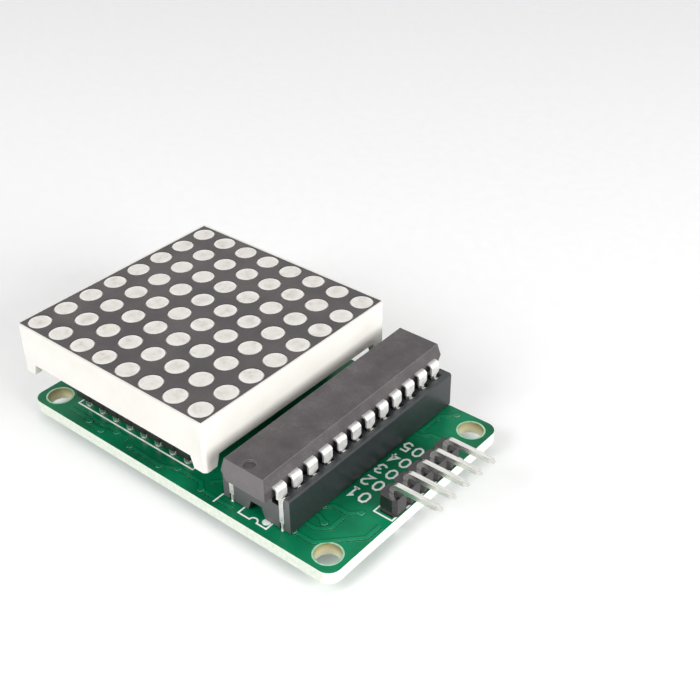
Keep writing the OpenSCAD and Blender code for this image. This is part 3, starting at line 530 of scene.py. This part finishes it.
# Tinned sheet and wire: whitish tin over bronze, copper or steel, half matt, with a faintly uneven skin.
tinned = new_finish("tinned_metal")
place = add(tinned, "TexCoord").outputs["Object"]
skin = add(tinned, "TexNoise", {"Vector": place, "Scale": 1 / (0.6 * MM), "Detail": 4.0})
tone = add(tinned, "ValToRGB", {"Fac": skin.outputs["Fac"]}, {0.3: "E2E1DE", 0.55: "F2F1EE", 0.75: "FCFBF8"})
rough = add(tinned, "MapRange", {"Value": skin.outputs["Fac"], "To Min": 0.38, "To Max": 0.52})
edge = add(tinned, "Bevel", {"Radius": 0.05 * MM}, samples=6)
relief = add(tinned, "Bump", {"Height": skin.outputs["Fac"], "Strength": 0.2, "Distance": 0.03 * MM,
                              "Normal": edge.outputs["Normal"]})
body = add(tinned, "BsdfPrincipled", {"Base Color": tone.outputs["Color"], "Metallic": 0.6,
                                      "Roughness": rough.outputs["Result"],
                                      "Normal": relief.outputs["Normal"]})
add(tinned, "OutputMaterial", {"Surface": body.outputs["BSDF"]})
dress(tinned, "socket_contacts_left", "socket_contacts_right", "resistor_leads", "disc_leads", "can_leads",
      "display_pins_front", "display_pins_back")

# ---- Driver chip
# A block of filled epoxy, transfer moulded round the lead frame. Its mould was spark eroded, which leaves
# a matt, finely pitted skin. The legs are stamped copper alloy, bent down and tinned.
# Moulded epoxy: warm dark grey and matt, with painted highlights on its edges and painted light on its ends.
chip_skin = new_finish("moulded_epoxy")
place = add(chip_skin, "TexCoord").outputs["Object"]
pits = add(chip_skin, "TexNoise", {"Vector": place, "Scale": 1 / (0.22 * MM), "Detail": 4.0,
                                   "Roughness": 0.7})
cloud = add(chip_skin, "TexNoise", {"Vector": place, "Scale": 1 / (3 * MM), "Detail": 4.0, "Roughness": 0.6})
blend = add(chip_skin, "Math", {0: pits.outputs["Fac"], 1: cloud.outputs["Fac"]}, operation="MULTIPLY")
tone = add(chip_skin, "ValToRGB", {"Fac": blend.outputs["Value"]},
           {0.12: "3C383A", 0.25: "4C4749", 0.36: "5A5456", 0.5: "77706F"})
rough = add(chip_skin, "MapRange", {"Value": pits.outputs["Fac"], "From Min": 0.3, "From Max": 0.7,
                                    "To Min": 0.5, "To Max": 0.72})
edge = add(chip_skin, "Bevel", {"Radius": 0.14 * MM}, samples=8)
# Painted highlight: a thin pale line where the rounded-edge normal turns from the face's own normal.
turn = add(chip_skin, "VectorMath", {
    0: edge.outputs["Normal"], 1: add(chip_skin, "NewGeometry").outputs["Normal"]}, operation="DOT_PRODUCT")
painted_edge_highlight = add(chip_skin, "MapRange", {"Value": turn.outputs["Value"], "From Min": 0.995, "From Max": 0.94,
                                   "To Max": 0.3})
skin = add(chip_skin, "Mix", {"Factor": painted_edge_highlight.outputs["Result"], 6: tone.outputs["Color"],
                              7: "A09A98"}, data_type="RGBA")
# Painted light: the ends, facing along Y, are mixed towards a paler grey.
side = add(chip_skin, "Math", {0: add(chip_skin, "SeparateXYZ", {
    "Vector": add(chip_skin, "NewGeometry").outputs["Normal"]}).outputs["Y"]}, operation="ABSOLUTE")
painted_lit_end = add(chip_skin, "MapRange", {"Value": side.outputs["Value"], "From Min": 0.6, "From Max": 0.9,
                                    "To Max": 0.5})
skin = add(chip_skin, "Mix", {"Factor": painted_lit_end.outputs["Result"], 6: skin.outputs[2],
                              7: "8A8587"}, data_type="RGBA")
relief = add(chip_skin, "Bump", {"Height": pits.outputs["Fac"], "Strength": 0.5, "Distance": 0.05 * MM,
                                 "Normal": edge.outputs["Normal"]})
body = add(chip_skin, "BsdfPrincipled", {"Base Color": skin.outputs[2],
                                         "Roughness": rough.outputs["Result"], "IOR": 1.55,
                                         "Normal": relief.outputs["Normal"]})
add(chip_skin, "OutputMaterial", {"Surface": body.outputs["BSDF"]})
dress(chip_skin, "chip_body")
dress(tinned, "chip_legs_left", "chip_legs_right")

# ---- Headers
# Five square pins, bent at a right angle, in a block of glossy black nylon with notches between the ways.
dress(black_moulding("black_nylon", "131112", "2E2A2B", 0.12, 0.3, 0.5),
      "input_header_body", "output_header_body")
# Drawn and tinned square wire: bright, with fine draw lines along it and a soft mirror.
drawn = new_finish("tinned_square_wire")
place = add(drawn, "TexCoord").outputs["Object"]
lines = add(drawn, "TexNoise", {"Vector": add(drawn, "VectorMath", {0: place, 1: (0.1, 1, 1)},
                                              operation="MULTIPLY").outputs["Vector"],
                                "Scale": 1 / (0.15 * MM), "Detail": 3.0})
tone = add(drawn, "ValToRGB", {"Fac": lines.outputs["Fac"]}, {0.3: "D2D1CC", 0.6: "ECEBE7"})
rough = add(drawn, "MapRange", {"Value": lines.outputs["Fac"], "To Min": 0.2, "To Max": 0.36})
relief = add(drawn, "Bump", {"Height": lines.outputs["Fac"], "Strength": 0.15, "Distance": 0.02 * MM})
body = add(drawn, "BsdfPrincipled", {"Base Color": tone.outputs["Color"], "Metallic": 1.0,
                                     "Roughness": rough.outputs["Result"],
                                     "Normal": relief.outputs["Normal"]})
add(drawn, "OutputMaterial", {"Surface": body.outputs["BSDF"]})
for number in range(1, 6):
    dress(drawn, "input_pin_" + str(number), "output_pin_" + str(number))

# ---- Display: housing
# One injection moulding of white polycarbonate with a reflector well for every lit point. The display
# stands on its sixteen pins, which plug into the two socket strips.
# White polycarbonate: slightly warm, with a faint satin grain from the mould and softly rounded edges.
white_plastic = new_finish("white_polycarbonate")
place = add(white_plastic, "TexCoord").outputs["Object"]
grain = add(white_plastic, "TexNoise", {"Vector": place, "Scale": 1 / (0.35 * MM), "Detail": 4.0})
cloud = add(white_plastic, "TexNoise", {"Vector": place, "Scale": 1 / (7 * MM), "Detail": 3.0})
tone = add(white_plastic, "ValToRGB", {"Fac": cloud.outputs["Fac"]}, {0.3: "EDEAE2", 0.7: "F6F4EE"})
rough = add(white_plastic, "MapRange", {"Value": grain.outputs["Fac"], "To Min": 0.34, "To Max": 0.5})
edge = add(white_plastic, "Bevel", {"Radius": 0.12 * MM}, samples=6)
relief = add(white_plastic, "Bump", {"Height": grain.outputs["Fac"], "Strength": 0.15, "Distance": 0.03 * MM,
                                     "Normal": edge.outputs["Normal"]})
body = add(white_plastic, "BsdfPrincipled", {"Base Color": tone.outputs["Color"],
                                             "Roughness": rough.outputs["Result"], "IOR": 1.58,
                                             "Normal": relief.outputs["Normal"]})
add(white_plastic, "OutputMaterial", {"Surface": body.outputs["BSDF"]})
dress(white_plastic, "display_housing")

# ---- Display: face film
# A polyester film printed dark warm grey, with a hole for each lit point, laid in the housing's recess.
# Printed film: flat grey with a fine speckle of ink 0.2 mm across and a satin face.
film_ink = new_finish("printed_polyester_film")
place = add(film_ink, "TexCoord").outputs["Object"]
speckle = add(film_ink, "TexNoise", {"Vector": place, "Scale": 1 / (0.18 * MM), "Detail": 3.0,
                                     "Roughness": 0.7})
cloud = add(film_ink, "TexNoise", {"Vector": place, "Scale": 1 / (5 * MM), "Detail": 3.0})
blend = add(film_ink, "Math", {0: speckle.outputs["Fac"], 1: cloud.outputs["Fac"]}, operation="MULTIPLY")
tone = add(film_ink, "ValToRGB", {"Fac": blend.outputs["Value"]},
           {0.12: "3F3A3C", 0.25: "4B4647", 0.4: "595353"})
relief = add(film_ink, "Bump", {"Height": speckle.outputs["Fac"], "Strength": 0.2, "Distance": 0.02 * MM})
body = add(film_ink, "BsdfPrincipled", {"Base Color": tone.outputs["Color"], "Roughness": 0.5, "IOR": 1.5,
                                        "Normal": relief.outputs["Normal"]})
add(film_ink, "OutputMaterial", {"Surface": body.outputs["BSDF"]})
dress(film_ink, "face_film")

# ---- Display: lit points
# Epoxy with a white diffusing filler, cast into each well over its light-emitting die. The filler settles
# unevenly, so each dot is milky with a cloud in it and a paler ring where it climbs the well's wall.
DOT_PITCH = 4.0
DOT_R = 1.41
diffuser = new_finish("cast_diffusing_epoxy")
place = add(diffuser, "TexCoord").outputs["Object"]
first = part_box("diffuser_dots")[0] + Vector((1, 1, 0)) * (DOT_R - DOT_PITCH / 2) * MM
shifted = add(diffuser, "VectorMath", {0: place, 1: first}, operation="SUBTRACT")
cell = add(diffuser, "VectorMath", {0: shifted.outputs["Vector"], 1: [DOT_PITCH * MM] * 3},
           operation="MODULO")
centred = add(diffuser, "VectorMath", {0: cell.outputs["Vector"], 1: [DOT_PITCH / 2 * MM] * 3},
              operation="SUBTRACT")
flat = add(diffuser, "VectorMath", {0: centred.outputs["Vector"], 1: (1, 1, 0)}, operation="MULTIPLY")
radius = add(diffuser, "VectorMath", {0: flat.outputs["Vector"]}, operation="LENGTH")
spread = add(diffuser, "MapRange", {"Value": radius.outputs["Value"], "From Max": DOT_R * MM})
ring = add(diffuser, "ValToRGB", {"Fac": spread.outputs["Result"]},
           {0.0: "EAE7E3", 0.55: "EEEBE7", 0.84: "F3F1EE", 0.95: "FBFAF8"})
cloud = add(diffuser, "TexNoise", {"Vector": place, "Scale": 1 / (1.3 * MM), "Detail": 4.0,
                                   "Roughness": 0.65})
shade = add(diffuser, "ValToRGB", {"Fac": cloud.outputs["Fac"]},
            {0.3: "D6D2CC", 0.5: "F4F2EE", 0.7: "FFFFFF"})
tone = add(diffuser, "Mix", {"Factor": 0.8, 6: ring.outputs["Color"], 7: shade.outputs["Color"]},
           data_type="RGBA", blend_type="MULTIPLY")
relief = add(diffuser, "Bump", {"Height": cloud.outputs["Fac"], "Strength": 0.2, "Distance": 0.05 * MM})
body = add(diffuser, "BsdfPrincipled", {"Base Color": tone.outputs[2], "Roughness": 0.38, "IOR": 1.5,
                                        "Normal": relief.outputs["Normal"]})
add(diffuser, "OutputMaterial", {"Surface": body.outputs["BSDF"]})
dress(diffuser, "diffuser_dots")

# Bare semiconductor die: straw coloured and smooth, with a faint mottle 0.1 mm across.
die_face = new_finish("sawn_die")
place = add(die_face, "TexCoord").outputs["Object"]
saw = add(die_face, "TexNoise", {"Vector": place, "Scale": 1 / (0.1 * MM), "Detail": 2.0})
tone = add(die_face, "ValToRGB", {"Fac": saw.outputs["Fac"]}, {0.3: "B9A86A", 0.7: "D6C88A"})
body = add(die_face, "BsdfPrincipled", {"Base Color": tone.outputs["Color"], "Roughness": 0.25, "IOR": 1.8})
add(die_face, "OutputMaterial", {"Surface": body.outputs["BSDF"]})
dress(die_face, "led_dies")

# ---- Display: inner board and potting
# A small circuit board closes the wells from behind, and grey-white epoxy potting seals it in.
dress(mask_on_copper, "display_board")
# Poured epoxy: off-white and glossy, slowly changing in tone, with shallow bubble pits 0.8 mm across.
potting = new_finish("poured_epoxy")
place = add(potting, "TexCoord").outputs["Object"]
wave = add(potting, "TexNoise", {"Vector": place, "Scale": 1 / (3 * MM), "Detail": 2.0})
bubble = add(potting, "TexVoronoi", {"Vector": place, "Scale": 1 / (1.6 * MM)})
pit = add(potting, "MapRange", {"Value": bubble.outputs["Distance"], "From Max": 0.25})
tone = add(potting, "ValToRGB", {"Fac": wave.outputs["Fac"]}, {0.3: "CFCBC0", 0.7: "DEDACF"})
relief = add(potting, "Bump", {"Height": pit.outputs["Result"], "Strength": 0.3, "Distance": 0.1 * MM})
body = add(potting, "BsdfPrincipled", {"Base Color": tone.outputs["Color"], "Roughness": 0.2, "IOR": 1.55,
                                       "Normal": relief.outputs["Normal"]})
add(potting, "OutputMaterial", {"Surface": body.outputs["BSDF"]})
dress(potting, "back_potting")

# ---- Floor
# A pale matt table, with the faint tooth of painted board. The camera sees it a little brighter than it is,
# which brings it near to the white of the room.
table = new_finish("painted_board")
place = add(table, "TexCoord").outputs["Object"]
tooth = add(table, "TexNoise", {"Vector": place, "Scale": 1 / (2 * MM), "Detail": 3.0})
tone = add(table, "ValToRGB", {"Fac": tooth.outputs["Fac"]}, {0.3: "F6F6F6", 0.7: "FAFAFA"})
body = add(table, "BsdfPrincipled", {"Base Color": tone.outputs["Color"], "Roughness": 0.9,
                                     "Specular IOR Level": 0.1, "Emission Color": "FFFFFF",
                                     "Emission Strength": add(table, "Math", {
                                         0: add(table, "LightPath").outputs["Is Camera Ray"],
                                         1: 0.12}, operation="MULTIPLY").outputs["Value"]})
add(table, "OutputMaterial", {"Surface": body.outputs["BSDF"]})
FLOOR_HALF = 3.0
floor_mesh = bmesh.new()
bmesh.ops.create_grid(floor_mesh, x_segments=4, y_segments=4, size=FLOOR_HALF)
floor_data = bpy.data.meshes.new("floor")
floor_mesh.to_mesh(floor_data)
floor_mesh.free()
floor_data.materials.append(table)
floor = bpy.data.objects.new("floor", floor_data)
floor.location.z = cad_box[0].z
scene.collection.objects.link(floor)

# ---- Light
# A large soft box to the camera's right, a weaker one to its left, and a pale room that is brighter
# overhead. Seen directly or in a glossy surface, the room is plain white.
def soft_box(name, place, size, watts):
    """An area light that points at the module."""
    data = bpy.data.lights.new(name, "AREA")
    data.shape = "DISK"
    data.size = size
    data.energy = watts
    lamp = bpy.data.objects.new(name, data)
    lamp.location = place
    lamp.rotation_euler = (-Vector(place)).to_track_quat("-Z", "Y").to_euler()
    scene.collection.objects.link(lamp)


soft_box("key_light", (0.46, 0.0, 0.16), 0.3, 2.1)
soft_box("left_light", (-0.1, -0.38, 0.28), 0.3, 1.15)

room = bpy.data.worlds.new("room")
scene.world = room
room.use_nodes = True
room.node_tree.nodes.clear()
rays = add(room, "LightPath")
seen = add(room, "Math", {0: rays.outputs["Is Camera Ray"], 1: rays.outputs["Is Glossy Ray"]},
           operation="MAXIMUM")
height = add(room, "SeparateXYZ", {"Vector": add(room, "TexCoord").outputs["Generated"]})
dome = add(room, "MapRange", {"Value": height.outputs["Z"], "From Max": 0.8, "To Min": 0.3, "To Max": 0.5})
glow = add(room, "Mix", {"Factor": seen.outputs["Value"], "A": dome.outputs["Result"], "B": 1.0})
sky = add(room, "Background", {"Color": "FFFFFF", "Strength": glow.outputs["Result"]})
add(room, "OutputWorld", {"Surface": sky.outputs["Background"]})

# ---- Camera
lens = bpy.data.cameras.new("camera")
lens.lens = 57.747
lens.sensor_width = 36
camera = bpy.data.objects.new("camera", lens)
camera.location = (0.07982, -0.07823, 0.08810)
camera.rotation_euler = [math.radians(a) for a in (55.2457, 0.5610, 39.3998)]
scene.collection.objects.link(camera)
scene.camera = camera
scene.view_settings.view_transform = "Standard"

bpy.context.view_layer.update()
